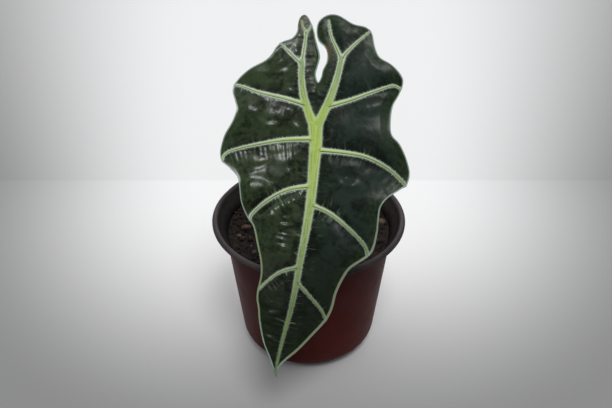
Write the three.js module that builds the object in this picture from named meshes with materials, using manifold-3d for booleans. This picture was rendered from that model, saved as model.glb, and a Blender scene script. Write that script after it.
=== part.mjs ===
// A potted alocasia: one large arrow-shaped leaf that hangs from a tapered stalk, a corm and its
// dry sheaths in dark potting mix with bark chips, and a thin plastic nursery pot.
// Millimetres, +Z up. The origin is the centre of the pot's foot, on the surface it stands on.
// The leaf hangs over the pot's -Y side.
import * as THREE from 'three';
import { mergeVertices } from 'three/addons/utils/BufferGeometryUtils.js';
import { TessellateModifier } from 'three/addons/modifiers/TessellateModifier.js';
import Module from 'manifold-3d';

const wasm = await Module();
wasm.setup();

// Driving dimensions
const RIM_RADIUS = 60;
const POT_HEIGHT = 94;
const BODY_TOP_RADIUS = 52.8;
const BODY_BASE_RADIUS = 41.6; // where the straight side would meet the surface below
const FOOT_CORNER = 14;
const WALL = 0.9;
const ROUND_SEGMENTS = 48;

const SOIL_EDGE_HEIGHT = 83;
const SOIL_CROWN = 3;
const GAP = 0.35; // between pieces that touch

const LEAF_THICKNESS = 1;
const LEAF_MESH_SIZE = 11; // longest edge of the blade's faces
const LEAF_JOIN = new THREE.Vector3(3.6, -26, 172.4); // where the stalk meets the blade
const LEAF_LEAN = THREE.MathUtils.degToRad(36); // of the blade from upright, at the join
const LEAF_BEND_RADIUS = 590; // the blade's long arch, steeper towards the tip

const PLANT_FOOT = new THREE.Vector3(-1, 9, 0); // the corm's centre line
const CORM_TOP = 88;

// Margins of the flat blade, as [across, along] from the join: along runs towards the tip.
const LEFT_MARGIN = [
  [0.3, -28], [0.3, -31.5], [2, -37.5], [2.3, -41], [0.3, -49], [-0.7, -54.5], [-3, -60.5],
  [-5.5, -63.5], [-8, -62.5], [-9.5, -58.5], [-10, -54], [-13, -50], [-18, -48], [-21.5, -45],
  [-24, -41], [-28, -37], [-36.5, -32.5], [-43, -27], [-46, -21.5], [-44.5, -15], [-43.5, -10],
  [-46, -3], [-50.5, 4.5], [-53, 13], [-52, 18], [-47.5, 22], [-43, 27], [-42, 33], [-41, 41.5],
  [-38, 49], [-34.5, 54.5], [-32.5, 63.5], [-30.5, 74], [-30.5, 82], [-32.8, 93.5], [-32, 101],
  [-31.5, 108], [-29.5, 120], [-26, 130], [-24, 136.5],
];
const RIGHT_MARGIN = [
  [3.2, -28.5], [4, -32], [6.3, -37], [6.6, -42], [5, -45.5], [1.7, -49], [0.6, -54.5],
  [2, -60], [7, -63.5], [13, -63], [21, -58], [28, -56], [31.5, -52.5], [33, -45], [35.5, -39],
  [42, -34.5], [47, -29], [48.5, -24.5], [46.5, -18.5], [43, -12], [41.5, -3], [42, 4],
  [46.5, 9.5], [50.5, 17.5], [52.5, 25], [51, 31], [47, 34], [40, 38.5], [36, 43.5], [35, 50],
  [34.5, 58], [32.5, 67], [29, 71.5], [20, 77.5], [16, 83], [12, 91.5], [9.5, 101], [6, 108],
  [-1.5, 116.5], [-10, 126], [-18, 133], [-22, 138],
];
const SINUS = [1.5, -25.5];
const LEAF_TIP = [-22.5, 142.5];

const finishes = {
  pot: new THREE.MeshStandardMaterial({ color: 0x4a1c19, roughness: 0.45, metalness: 0 }),
  soil: new THREE.MeshStandardMaterial({ color: 0x1d1715, roughness: 0.95, metalness: 0 }),
  bark: new THREE.MeshStandardMaterial({ color: 0x7a4a33, roughness: 0.85, metalness: 0 }),
  leaf: new THREE.MeshStandardMaterial({ color: 0x16291a, roughness: 0.3, metalness: 0 }),
  stalk: new THREE.MeshStandardMaterial({ color: 0x6f8a4c, roughness: 0.5, metalness: 0 }),
  corm: new THREE.MeshStandardMaterial({ color: 0x5a4030, roughness: 0.85, metalness: 0 }),
  sheath: new THREE.MeshStandardMaterial({ color: 0x9a7a52, roughness: 0.75, metalness: 0 }),
};

const plant = new THREE.Group();

function place(name, geometry, material) {
  const mesh = new THREE.Mesh(geometry, material);
  mesh.name = name;
  plant.add(mesh);
}

// A turned solid about +Z, from [radius, height] pairs that start and end on the axis.
function turned(profile, segments = ROUND_SEGMENTS) {
  const points = profile.map(([radius, height]) => new THREE.Vector2(radius, height));
  return new THREE.LatheGeometry(points, segments).rotateX(Math.PI / 2);
}

function toSolid(geometry) {
  const bare = geometry.clone();
  bare.deleteAttribute('normal');
  bare.deleteAttribute('uv');
  const merged = mergeVertices(bare, 1e-4);
  return new wasm.Manifold(new wasm.Mesh({
    numProp: 3,
    vertProperties: merged.attributes.position.array,
    triVerts: new Uint32Array(merged.index.array),
  }));
}

function toGeometry(solid) {
  const mesh = solid.getMesh();
  const geometry = new THREE.BufferGeometry();
  geometry.setAttribute('position', new THREE.BufferAttribute(mesh.vertProperties, 3));
  geometry.setIndex(new THREE.BufferAttribute(mesh.triVerts, 1));
  geometry.computeVertexNormals();
  return geometry;
}

// Moves every vertex of a geometry to where change(x, y, z) puts it.
function reshape(geometry, change) {
  const position = geometry.attributes.position;
  const spot = new THREE.Vector3();
  for (let i = 0; i < position.count; i++) {
    spot.fromBufferAttribute(position, i);
    change(spot);
    position.setXYZ(i, spot.x, spot.y, spot.z);
  }
  geometry.computeVertexNormals();
  return geometry;
}

// ---- Pot: a thin thermoformed cup with a rounded foot, five drain recesses and a rolled rim ----
const RIM_BASE = POT_HEIGHT - 3;
const SIDE_SLOPE = (BODY_TOP_RADIUS - BODY_BASE_RADIUS) / RIM_BASE;

// The cup's section, moved inwards by inset. Its bottom corner is an arc tangent to floor and side.
function cupSection(inset, topHeight) {
  const sideLean = Math.atan(SIDE_SLOPE);
  const cornerCentre = BODY_BASE_RADIUS + SIDE_SLOPE * FOOT_CORNER - FOOT_CORNER / Math.cos(sideLean);
  const section = [[0, inset]];
  const steps = 5;
  for (let i = 0; i <= steps; i++) {
    const turn = -Math.PI / 2 + (Math.PI / 2 - sideLean) * (i / steps);
    section.push([
      cornerCentre + (FOOT_CORNER - inset) * Math.cos(turn),
      FOOT_CORNER + (FOOT_CORNER - inset) * Math.sin(turn),
    ]);
  }
  section.push([BODY_BASE_RADIUS + SIDE_SLOPE * topHeight - inset / Math.cos(sideLean), topHeight]);
  return section;
}

// The collar flares out from the side to the lip, and its inside follows.
const COLLAR_START = { outside: POT_HEIGHT - 9.5, inside: POT_HEIGHT - 10.5 };
const rimOutside = [
  [52.7, POT_HEIGHT - 7.9], [53.8, POT_HEIGHT - 6.4], [56.4, POT_HEIGHT - 4.3], [58.8, POT_HEIGHT - 3.3],
  [RIM_RADIUS, POT_HEIGHT - 2.6], [RIM_RADIUS, POT_HEIGHT - 1.9], [59.1, POT_HEIGHT - 1.2],
  [58.3, POT_HEIGHT - 0.2], [57.6, POT_HEIGHT], [0, POT_HEIGHT],
];
const rimInside = [
  [51.9, POT_HEIGHT - 8.2], [52.8, POT_HEIGHT - 6.6], [54.9, POT_HEIGHT - 4], [56.3, POT_HEIGHT - 1.6],
  [57.1, POT_HEIGHT + 1], [0, POT_HEIGHT + 1],
];
const RECESS_TURNS = [33, 105, 177, 249, 321].map(THREE.MathUtils.degToRad);
const RECESS_SIZE = [12.5, 7.4, 7.6]; // half of its width, depth and height
const RECESS_RADIUS = 42.6; // from the pot's axis to the middle of a recess
const DRAIN_HOLE = { radius: 2.6, length: 9, out: 37.4, up: 5.2, lean: THREE.MathUtils.degToRad(50) };

// The five shallow hollows in the foot's corner, grown on every side by grow.
function recesses(grow) {
  return RECESS_TURNS.map((turn) => {
    const hollow = new THREE.SphereGeometry(1, 16, 8);
    hollow.scale(...RECESS_SIZE.map((half) => half + grow));
    hollow.translate(0, -RECESS_RADIUS, 0);
    hollow.rotateZ(turn);
    return toSolid(hollow);
  });
}

// A round hole through each recess, for the water to leave by.
function drainHoles() {
  return RECESS_TURNS.map((turn) => {
    const hole = new THREE.CylinderGeometry(DRAIN_HOLE.radius, DRAIN_HOLE.radius, DRAIN_HOLE.length, 12);
    hole.rotateX(DRAIN_HOLE.lean);
    hole.translate(0, -DRAIN_HOLE.out, DRAIN_HOLE.up);
    hole.rotateZ(turn);
    return toSolid(hole);
  });
}

let pot = toSolid(turned([...cupSection(0, COLLAR_START.outside), ...rimOutside]));
recesses(0).forEach((hollow) => { pot = pot.subtract(hollow); });
let cavity = toSolid(turned([...cupSection(WALL, COLLAR_START.inside), ...rimInside]));
recesses(WALL).forEach((hollow) => { cavity = cavity.subtract(hollow); });
pot = pot.subtract(cavity);
drainHoles().forEach((hole) => { pot = pot.subtract(hole); });
place('nursery_pot', toGeometry(pot), finishes.pot);

// ---- Bark chips: coarse flakes that lie half sunk in the mix ----
// [x, y, length, width, thickness, turn in degrees]
const CHIPS = [
  [-39, -1, 7, 4, 3, 10], [-41, -12, 4, 3, 2.4, 50], [-43, -9, 3.4, 2.6, 2, 120],
  [-33, -26, 4, 3, 2.4, 30], [-36, -13, 3.6, 2.6, 2.2, 80], [45.5, 6, 6.5, 4.2, 3, -20],
  [43, 17, 5, 3.4, 2.6, 60], [42, -14, 5, 3, 2.2, 15], [-30, 24, 8, 4, 2.6, 35],
  [-12, 40, 6, 4, 3, 140], [16, 37, 9, 3.6, 2.4, 75], [31, 27, 5, 4, 3, 20],
  [-22, -30, 6, 3.2, 2.4, 100], [-6, -38, 7, 4, 2.6, 165], [14, -36, 5, 3.4, 2.6, 40],
  [29, -27, 7, 3, 2.2, 125], [-24, 4, 5, 3.4, 2.6, 70], [20, 8, 6, 4, 2.6, 155],
  [-14, -16, 7, 3.4, 2.2, 25], [12, -16, 4.4, 3.2, 2.4, 95], [2, 30, 5, 3.2, 2.4, 10],
  [-34, 14, 4, 3, 2.4, 130],
];

const CHIP_TILT = THREE.MathUtils.degToRad(6);
const CHIP_RISE = 0.15; // of its thickness, from the mix's surface to its middle

// Height of the mix's surface, a low mound.
function soilHeight(x, y) {
  const share = Math.min(1, Math.hypot(x, y) / BODY_TOP_RADIUS);
  return SOIL_EDGE_HEIGHT + SOIL_CROWN * (1 - share * share);
}

// A flake with flattened, uneven sides, grown on every side by grow.
function chip([x, y, length, width, thickness, turn], grow) {
  const flake = new THREE.IcosahedronGeometry(1, 0);
  flake.scale(length / 2 + grow, width / 2 + grow, thickness / 2 + grow);
  flake.rotateY(CHIP_TILT);
  flake.rotateZ(THREE.MathUtils.degToRad(turn));
  return flake.translate(x, y, soilHeight(x, y) + thickness * CHIP_RISE);
}

CHIPS.forEach((size, i) => {
  place(`bark_chip_${String(i + 1).padStart(2, '0')}`, chip(size, 0), finishes.bark);
});

// ---- Corm: the squat, ringed stem base, its crown just above the mix ----
const CORM_SECTION = [
  [0, 66], [5, 67], [9, 71], [10.4, 74], [10, 75], [11.2, 78], [10.7, 79], [11, 82], [10.3, 83],
  [9.6, 85.4], [8.4, 86.4], [5, 87.4], [0, CORM_TOP],
];

function corm(grow) {
  const section = CORM_SECTION.map(([radius, height]) => [
    radius ? radius + grow : 0,
    radius ? height : height + Math.sign(height - 77) * grow,
  ]);
  return turned(section, 24).translate(PLANT_FOOT.x, PLANT_FOOT.y, 0);
}

place('corm', corm(0), finishes.corm);

// ---- Potting mix: fills the cup to a low mound, around the corm and the chips ----
function soilBody() {
  const fill = cupSection(WALL + GAP, SOIL_EDGE_HEIGHT);
  const rings = 5;
  const edge = fill[fill.length - 1][0];
  for (let i = 1; i <= rings; i++) {
    const radius = edge * (1 - i / rings);
    fill.push([radius, soilHeight(radius, 0)]);
  }
  return toSolid(turned(fill));
}

let soil = soilBody();
recesses(WALL + GAP).forEach((hollow) => { soil = soil.subtract(hollow); });
soil = soil.subtract(toSolid(corm(GAP)));
CHIPS.forEach((size) => { soil = soil.subtract(toSolid(chip(size, GAP))); });
place('potting_soil', toGeometry(soil), finishes.soil);

// ---- Leaf blade: a flat arrow-shaped outline, cut as a sheet and then arched and waved ----
// Where the blade's front face is, at [across, along] and lift towards its upper side.
function bladePoint(across, along, lift) {
  const lean = LEAF_LEAN - along / LEAF_BEND_RADIUS;
  const y = LEAF_JOIN.y - LEAF_BEND_RADIUS * (Math.cos(lean) - Math.cos(LEAF_LEAN));
  const z = LEAF_JOIN.z - LEAF_BEND_RADIUS * (Math.sin(LEAF_LEAN) - Math.sin(lean));
  return new THREE.Vector3(LEAF_JOIN.x + across, y - lift * Math.cos(lean), z + lift * Math.sin(lean));
}

// The midrib leans to the left as it nears the tip.
function midribAcross(along) {
  const share = Math.max(0, along) / LEAF_TIP[1];
  return LEAF_TIP[0] * share ** 1.6;
}

// The halves rise a little from the midrib, and the margins wave between the side veins.
const VEIN_SPACING = 38;
const VEIN_END = { left: 14, right: 24 }; // where a side vein meets each margin, along the blade
const WAVE_HEIGHT = 1.8; // at the blade's full half width
const HALF_WIDTH = 45;
function bladeWave(across, along) {
  const side = across - midribAcross(along);
  const reach = Math.abs(side);
  const veinEnd = side < 0 ? VEIN_END.left : VEIN_END.right;
  const wave = Math.cos((2 * Math.PI * (along - veinEnd)) / VEIN_SPACING);
  return 0.16 * reach - 0.0022 * reach ** 2 - WAVE_HEIGHT * wave * (reach / HALF_WIDTH) ** 2;
}

function blade() {
  const outline = [SINUS, ...LEFT_MARGIN, LEAF_TIP, ...RIGHT_MARGIN.slice().reverse()];
  const curve = new THREE.CatmullRomCurve3(
    outline.map(([across, along]) => new THREE.Vector3(across, along, 0)), true, 'centripetal');
  const shape = new THREE.Shape(curve.getPoints(112).slice(0, -1).map((p) => new THREE.Vector2(p.x, p.y)));
  let sheet = new THREE.ExtrudeGeometry(shape, { depth: LEAF_THICKNESS, bevelEnabled: false, steps: 1 });
  sheet.deleteAttribute('normal');
  sheet.deleteAttribute('uv');
  sheet = new TessellateModifier(LEAF_MESH_SIZE, 20).modify(sheet);
  sheet = mergeVertices(sheet, 1e-4);
  // The flat sheet's depth runs from the back of the blade to its front.
  return reshape(sheet, (spot) => {
    const lift = spot.z - LEAF_THICKNESS + bladeWave(spot.x, spot.y);
    spot.copy(bladePoint(spot.x, spot.y, lift));
  });
}

// Along runs down the blade, so the mapping mirrors the sheet: its faces are turned back.
function facesTurned(geometry) {
  const index = geometry.index.array;
  for (let i = 0; i < index.length; i += 3) {
    [index[i + 1], index[i + 2]] = [index[i + 2], index[i + 1]];
  }
  return geometry;
}

place('leaf_blade', facesTurned(blade()), finishes.leaf);

// ---- Petiole: a tapered stalk that rises behind the blade and turns over to meet its back ----
const backward = new THREE.Vector3(0, Math.cos(LEAF_LEAN), -Math.sin(LEAF_LEAN));
const stalkEnd = LEAF_JOIN.clone().addScaledVector(backward, LEAF_THICKNESS + GAP);
const stalkLine = new THREE.CatmullRomCurve3([
  new THREE.Vector3(PLANT_FOOT.x, PLANT_FOOT.y, CORM_TOP + GAP),
  new THREE.Vector3(PLANT_FOOT.x, PLANT_FOOT.y, CORM_TOP + 9),
  new THREE.Vector3(-2, 10.5, 112),
  new THREE.Vector3(-2, 11, 130),
  new THREE.Vector3(0.6, 2, 151),
  stalkEnd.clone().addScaledVector(backward, 9),
  stalkEnd,
]);
const STALK_STEPS = 22;

// Radius of the stalk at a share of its length: a swollen sheathing base, then a slim taper.
const STALK_TIP_RADIUS = 2.5;
const STALK_TAPER = 1.1;
const STALK_SWELLING = 2.6;
const SWELLING_SHARE = 0.45; // of the stalk's length
function stalkRadius(share) {
  const swelling = STALK_SWELLING * Math.max(0, 1 - share / SWELLING_SHARE) ** 1.5;
  return STALK_TIP_RADIUS + STALK_TAPER * (1 - share) + swelling;
}

function petiole() {
  const length = stalkLine.getLength();
  const section = [[0, 0]];
  for (let i = 0; i <= STALK_STEPS; i++) {
    const share = i / STALK_STEPS;
    section.push([stalkRadius(share), share * length]);
  }
  section.push([0, length]);
  return reshape(turned(section, 16), (spot) => {
    const share = THREE.MathUtils.clamp(spot.z / length, 0, 1);
    const along = stalkLine.getTangentAt(share);
    const sideways = new THREE.Vector3(1, 0, 0).addScaledVector(along, -along.x).normalize();
    const rearward = along.clone().cross(sideways);
    const { x, y } = spot;
    spot.copy(stalkLine.getPointAt(share)).addScaledVector(sideways, x).addScaledVector(rearward, y);
  });
}

place('petiole', petiole(), finishes.stalk);

// ---- Sheath scales: two dry papery scales that clasp the stalk's foot ----
const SCALE_THICKNESS = 0.8;
const SCALE_FLARE = 2.5; // how far its tip stands out from the stalk
const SCALE_NARROWING = 0.85; // of its width, from foot to tip

function sheathScale(innerRadius, spread, height, turn) {
  const crescent = new THREE.Shape();
  crescent.absarc(0, 0, innerRadius + SCALE_THICKNESS, -spread / 2, spread / 2, false);
  crescent.absarc(0, 0, innerRadius, spread / 2, -spread / 2, true);
  const scale = new THREE.ExtrudeGeometry(crescent, {
    depth: height, steps: 7, bevelEnabled: false, curveSegments: 8,
  });
  scale.deleteAttribute('normal');
  scale.deleteAttribute('uv');
  return reshape(mergeVertices(scale, 1e-4), (spot) => {
    const share = spot.z / height;
    const radius = Math.hypot(spot.x, spot.y) + SCALE_FLARE * share ** 2;
    const angle = Math.atan2(spot.y, spot.x) * (1 - SCALE_NARROWING * share ** 1.5) + turn;
    const centre = stalkLine.getPointAt((0.9 * spot.z) / stalkLine.getLength());
    spot.set(
      centre.x + radius * Math.cos(angle),
      centre.y + radius * Math.sin(angle),
      CORM_TOP + GAP + spot.z,
    );
  });
}

place('sheath_scale_front', sheathScale(7, 2.6, 26, -Math.PI / 2 + 0.5), finishes.sheath);
place('sheath_scale_back', sheathScale(8.6, 2.2, 34, Math.PI / 2 + 0.4), finishes.sheath);

export default plant;
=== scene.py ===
import math
import random

import bmesh
import bpy
import numpy as np
from mathutils import Matrix, Vector, noise


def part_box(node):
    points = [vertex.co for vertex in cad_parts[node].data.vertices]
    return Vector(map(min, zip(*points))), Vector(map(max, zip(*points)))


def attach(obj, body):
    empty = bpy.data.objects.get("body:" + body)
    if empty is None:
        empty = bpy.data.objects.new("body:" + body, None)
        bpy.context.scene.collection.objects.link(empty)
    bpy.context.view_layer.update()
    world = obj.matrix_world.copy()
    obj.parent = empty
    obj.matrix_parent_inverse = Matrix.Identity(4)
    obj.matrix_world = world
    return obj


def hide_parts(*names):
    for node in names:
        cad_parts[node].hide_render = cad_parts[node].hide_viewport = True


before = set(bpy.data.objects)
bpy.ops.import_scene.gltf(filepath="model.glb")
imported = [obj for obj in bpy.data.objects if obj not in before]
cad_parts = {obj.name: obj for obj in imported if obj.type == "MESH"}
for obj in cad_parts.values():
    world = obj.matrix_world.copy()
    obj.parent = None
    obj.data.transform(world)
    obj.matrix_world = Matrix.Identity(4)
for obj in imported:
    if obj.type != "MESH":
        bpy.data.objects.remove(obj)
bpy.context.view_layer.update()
bpy.ops.object.select_all(action="DESELECT")
MM = 0.001

# ---- Camera ----
# The viewer looks down on the plant from in front, a little off the pot's middle, so that the blade
# faces the lens squarely and the tip hangs over the pot's foot.
camera_aim = Vector((-1.65 * MM, 0, 102.1 * MM))
camera_drop = math.radians(35.4)
camera_distance = 617.7 * MM
camera_data = bpy.data.cameras.new("camera")
camera_data.sensor_width = 36
camera_data.lens = 58.82
camera_data.clip_start = 0.01
camera = bpy.data.objects.new("camera", camera_data)
camera_back = Vector((0, -math.cos(camera_drop), math.sin(camera_drop)))
camera.location = camera_aim + camera_back * camera_distance
camera.rotation_euler = (math.pi / 2 - camera_drop, 0, 0)
bpy.context.scene.collection.objects.link(camera)
bpy.context.scene.camera = camera

# ---- Nursery pot ----
# A thin cup formed from two-layer plastic sheet, brick red outside and brown-black inside. Its lip is
# rolled outwards, so it shows the inner layer, and its foot has five drain recesses, each with a hole.


class Shade:
    """A socket of a material. Arithmetic on it adds Math nodes, and node() adds any other node."""

    def __init__(self, tree, socket=None):
        self.tree, self.socket = tree, socket

    def node(self, kind, settings, sockets, out=0):
        """Adds one node: its settings first, then the value or link of each socket."""
        made = self.tree.nodes.new("ShaderNode" + kind)
        for name, value in settings.items():
            if name == "stops":
                ramp = made.color_ramp
                while len(ramp.elements) < len(value):
                    ramp.elements.new(0.5)
                for element, (position, colour) in zip(ramp.elements, value):
                    element.position = position
                    element.color = (*colour, 1)
            else:
                setattr(made, name, value)
        for key, value in sockets.items():
            if isinstance(value, Shade):
                self.tree.links.new(value.socket, made.inputs[key])
            elif isinstance(value, tuple) and len(value) == 3 and made.inputs[key].type == "RGBA":
                made.inputs[key].default_value = (*value, 1)
            else:
                made.inputs[key].default_value = value
        return Shade(self.tree, made.outputs[out])

    def math(self, operation, *values):
        return self.node("Math", {"operation": operation}, dict(enumerate(values)))

    def __add__(self, other):
        return self.math("ADD", self, other)

    def __sub__(self, other):
        return self.math("SUBTRACT", self, other)

    def __rsub__(self, other):
        return self.math("SUBTRACT", other, self)

    def __mul__(self, other):
        return self.math("MULTIPLY", self, other)

    def __truediv__(self, other):
        return self.math("DIVIDE", self, other)

    __radd__, __rmul__ = __add__, __mul__

    def rise(self, low, high):
        """0 below low, 1 above high, and smooth between. With low over high it falls."""
        sockets = {"Value": self, "From Min": low, "From Max": high}
        return self.node("MapRange", {"interpolation_type": "SMOOTHSTEP"}, sockets)

    def colour(self, under, over):
        """under where this mask is 0, and over where it is 1."""
        return self.node("Mix", {"data_type": "RGBA"}, {0: self, 6: under, 7: over}, out=2)

    def noise(self, scale, detail=3.0, roughness=0.5, distortion=0.0):
        """Cloudy noise at this vector, of about 0 to 1 with its middle at 0.5."""
        sockets = {"Vector": self, "Scale": scale, "Detail": detail, "Roughness": roughness,
                   "Distortion": distortion}
        return self.node("TexNoise", {}, sockets)

    def stretch(self, x, y, z):
        return self.node("Mapping", {}, {"Vector": self, "Scale": (x, y, z)})


def finish_of(name, paint):
    """A material. paint(start) gives the value or the link of each of its Principled sockets, by name."""
    material = bpy.data.materials.new(name)
    material.use_nodes = True
    tree = material.node_tree
    shader = tree.nodes["Principled BSDF"]
    start = Shade(tree)
    for key, value in paint(start).items():
        if isinstance(value, Shade):
            tree.links.new(value.socket, shader.inputs[key])
        elif isinstance(value, tuple):
            shader.inputs[key].default_value = (*value, 1)
        else:
            shader.inputs[key].default_value = value
    return material


def place_of(start):
    """The point on the piece, in metres."""
    return start.node("TexCoord", {}, {}, out=3)


def bump(start, height, depth):
    """The normal of a surface that height, from 0 to 1, lifts by up to depth in metres."""
    return start.node("Bump", {}, {"Height": height, "Strength": 1.0, "Distance": depth})


def activate(piece):
    bpy.ops.object.select_all(action="DESELECT")
    piece.select_set(True)
    bpy.context.view_layer.objects.active = piece


def turned(name, section, segments):
    """A turned piece about the pot's axis. section runs from the axis out and back, as (radius, height)."""
    radius, height = section[0]
    bpy.ops.object.select_all(action="DESELECT")
    bpy.ops.mesh.primitive_circle_add(vertices=segments, radius=radius, fill_type="TRIFAN",
                                      location=(0, 0, height))
    piece = bpy.context.object
    piece.name = name
    bpy.ops.object.transform_apply(location=True, rotation=True, scale=True)
    bpy.ops.object.mode_set(mode="EDIT")
    bpy.ops.mesh.select_mode(type="EDGE")
    bpy.ops.mesh.select_all(action="SELECT")
    bpy.ops.mesh.region_to_loop()
    for next_radius, next_height in section[1:]:
        bpy.ops.mesh.extrude_edges_move(
            TRANSFORM_OT_translate={"value": (0, 0, next_height - height)})
        share = next_radius / radius
        bpy.ops.transform.resize(value=(share, share, 1), center_override=(0, 0, next_height))
        radius, height = next_radius, next_height
    bpy.ops.mesh.edge_face_add()
    bpy.ops.mesh.poke()
    bpy.ops.mesh.select_all(action="SELECT")
    bpy.ops.mesh.normals_make_consistent(inside=False)
    bpy.ops.object.mode_set(mode="OBJECT")
    return piece


pot_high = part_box("nursery_pot")[1]
rim_radius = pot_high.x
pot_height = pot_high.z
wall = 0.9 * MM
foot_corner = 14 * MM
base_radius = 41.6 * MM  # where the straight side would meet the surface below
side_slope = (52.8 * MM - base_radius) / (pot_height - 3 * MM)
side_lean = math.atan(side_slope)


def cup_section(inset, top):
    """The cup's section from near its axis to the top of its side, moved inwards by inset."""
    corner = base_radius + side_slope * foot_corner - foot_corner / math.cos(side_lean)
    section = [(4 * MM, inset), (14 * MM, inset), (24 * MM, inset)]
    for i in range(13):
        turn = -math.pi / 2 + (math.pi / 2 - side_lean) * i / 12
        section.append((corner + (foot_corner - inset) * math.cos(turn),
                        foot_corner + (foot_corner - inset) * math.sin(turn)))
    side = [18, 26, 36, 46, 56, 66, 76, 81]
    for height in [h * MM for h in side if h * MM < top - 1 * MM] + [top]:
        section.append((base_radius + side_slope * height - inset / math.cos(side_lean), height))
    return section


# The flared collar and the lip, as (in from the rim's edge, down from the rim's top) in millimetres.
lip_outside = [(7.3, 7.9), (6.2, 6.4), (4.9, 5.2), (3.6, 4.3), (2.4, 3.7), (1.2, 3.3), (0.4, 2.95),
               (0.03, 2.5), (0, 2.1), (0.25, 1.8), (0.7, 1.7), (0.95, 1.3), (1.15, 0.7), (1.6, 0.18),
               (2.2, 0)]
lip_inside = [(2.7, 0.12), (3.1, 0.55), (3.5, 1.4), (4.1, 2.6), (4.9, 3.9), (5.9, 5.2), (7, 6.6),
              (8, 8.2)]
collar_depth = 9.5 * MM
outside = cup_section(0, pot_height - collar_depth)
outside += [(rim_radius - across * MM, pot_height - down * MM) for across, down in lip_outside]
inside = [(rim_radius - across * MM, pot_height - down * MM) for across, down in lip_inside]
inside += cup_section(wall, pot_height - collar_depth - 1 * MM)[::-1]
pot_segments = 192
pot = turned("pot", outside + inside, pot_segments)

# Each recess is an egg-shaped hollow in the foot's corner: what lies inside it moves in and up to its skin.
recess_turns = [math.radians(turn) for turn in (33, 105, 177, 249, 321)]
recess_half = Vector((12.5, 7.4, 7.6)) * MM
recess_middle = Vector((0, -42.6, 0)) * MM
inward = Vector((0, 1, 1)).normalized()


def sink_into_recess(point, turn, grow):
    """Where a point inside the recess at this turn lies once it is pushed in, or None outside it."""
    to_front = Matrix.Rotation(-turn, 3, "Z")
    local = to_front @ point - recess_middle
    half = [size + grow for size in recess_half]
    start = Vector([value / size for value, size in zip(local, half)])
    way = Vector([value / size for value, size in zip(inward, half)])
    if start.length_squared >= 1:
        return None
    along = start.dot(way)
    room = along ** 2 - way.length_squared * (start.length_squared - 1)
    travel = (math.sqrt(room) - along) / way.length_squared
    return to_front.inverted() @ (local + recess_middle + inward * travel)


outer_count = 1 + pot_segments * len(outside)
recess_top = 12 * MM
for vertex in pot.data.vertices:
    if vertex.co.z > recess_top:
        continue
    for turn in recess_turns:
        grow = 0 if vertex.index < outer_count else wall
        moved = sink_into_recess(vertex.co, turn, grow)
        if moved is not None:
            vertex.co = moved

# The drain holes are punched slantwise through the back of each recess.
bpy.ops.object.select_all(action="DESELECT")
hole_radius = 2.6 * MM
hole_middle = Vector((0, -37.4, 5.2)) * MM
hole_lean = math.radians(-40)
for turn in recess_turns:
    bpy.ops.mesh.primitive_cylinder_add(vertices=24, radius=hole_radius, depth=9 * MM)
    punch = bpy.context.object
    punch.data.transform(Matrix.Rotation(turn, 4, "Z") @ Matrix.Translation(hole_middle)
                         @ Matrix.Rotation(hole_lean, 4, "X"))
    activate(pot)
    cut = pot.modifiers.new("drain", "BOOLEAN")
    cut.object = punch
    cut.operation = "DIFFERENCE"
    bpy.ops.object.modifier_apply(modifier="drain")
    bpy.data.objects.remove(punch)


def paint_pot_outside(start):
    place = place_of(start)
    clouds = place.noise(22, detail=4, roughness=0.6)
    drawn = place.stretch(1, 1, 0.12).noise(260, detail=3)
    height = place.node("SeparateXYZ", {}, {"Vector": place}, out=2)
    patches = place.noise(48, detail=5, roughness=0.62)
    # dust in patches, greyer towards the rim, where the grey is partly a painted bluish sheen
    dust_and_sheen = (patches + height.rise(52 * MM, 92 * MM) * 0.22).rise(0.5, 0.78)
    specks = place.noise(900, detail=1).rise(0.72, 0.8)
    rubbed = place.noise(320, detail=5, roughness=0.7).rise(0.62, 0.7) * (1 - height.rise(4 * MM, 16 * MM))
    red = clouds.rise(0.3, 0.7).colour((0.048, 0.0062, 0.0048), (0.07, 0.0105, 0.0082))
    dusty_and_sheened = (dust_and_sheen * 0.5 + specks * 0.12).colour(red, (0.054, 0.026, 0.031))
    return {
        "Base Color": (rubbed * 0.3).colour(dusty_and_sheened, (0.17, 0.07, 0.06)),
        "Roughness": 0.46 + dust_and_sheen * 0.16 + drawn * 0.05,
        "IOR": 1.5,
        "Specular IOR Level": 0.07,
        "Normal": bump(start, drawn * 0.4 + clouds, 0.05 * MM),
    }


def paint_pot_inside(start):
    place = place_of(start)
    clouds = place.noise(40, detail=4, roughness=0.6)
    scuffs = place.noise(420, detail=4, roughness=0.7).rise(0.5, 0.72)
    height = place.node("SeparateXYZ", {}, {"Vector": place}, out=2)
    # painted light: the lip's top, where the inner layer rolls out, is painted lighter as lit, and the wall
    # below it near-black brown as painted shade over its dark colour; scuffs mark the lip and soil stains the
    # wall
    lit_and_worn_lip = height.rise(pot_height - 2.6 * MM, pot_height - 0.6 * MM)
    soiled = place.noise(260, detail=4, roughness=0.7).rise(0.5, 0.62) * (1 - lit_and_worn_lip)
    brown = clouds.rise(0.35, 0.7).colour((0.0075, 0.0062, 0.0056), (0.0145, 0.0115, 0.0105))
    lip = clouds.rise(0.35, 0.7).colour((0.043, 0.035, 0.037), (0.08, 0.066, 0.067))
    coloured = lit_and_worn_lip.colour((soiled * 0.5).colour(brown, (0.028, 0.02, 0.016)), lip)
    return {
        "Base Color": (scuffs * 0.2 * lit_and_worn_lip).colour(coloured, (0.11, 0.095, 0.095)),
        "Roughness": 0.42 + clouds * 0.12,
        "IOR": 1.5,
        "Specular IOR Level": 0.22,
        "Normal": bump(start, scuffs + clouds, 0.04 * MM),
    }


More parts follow.
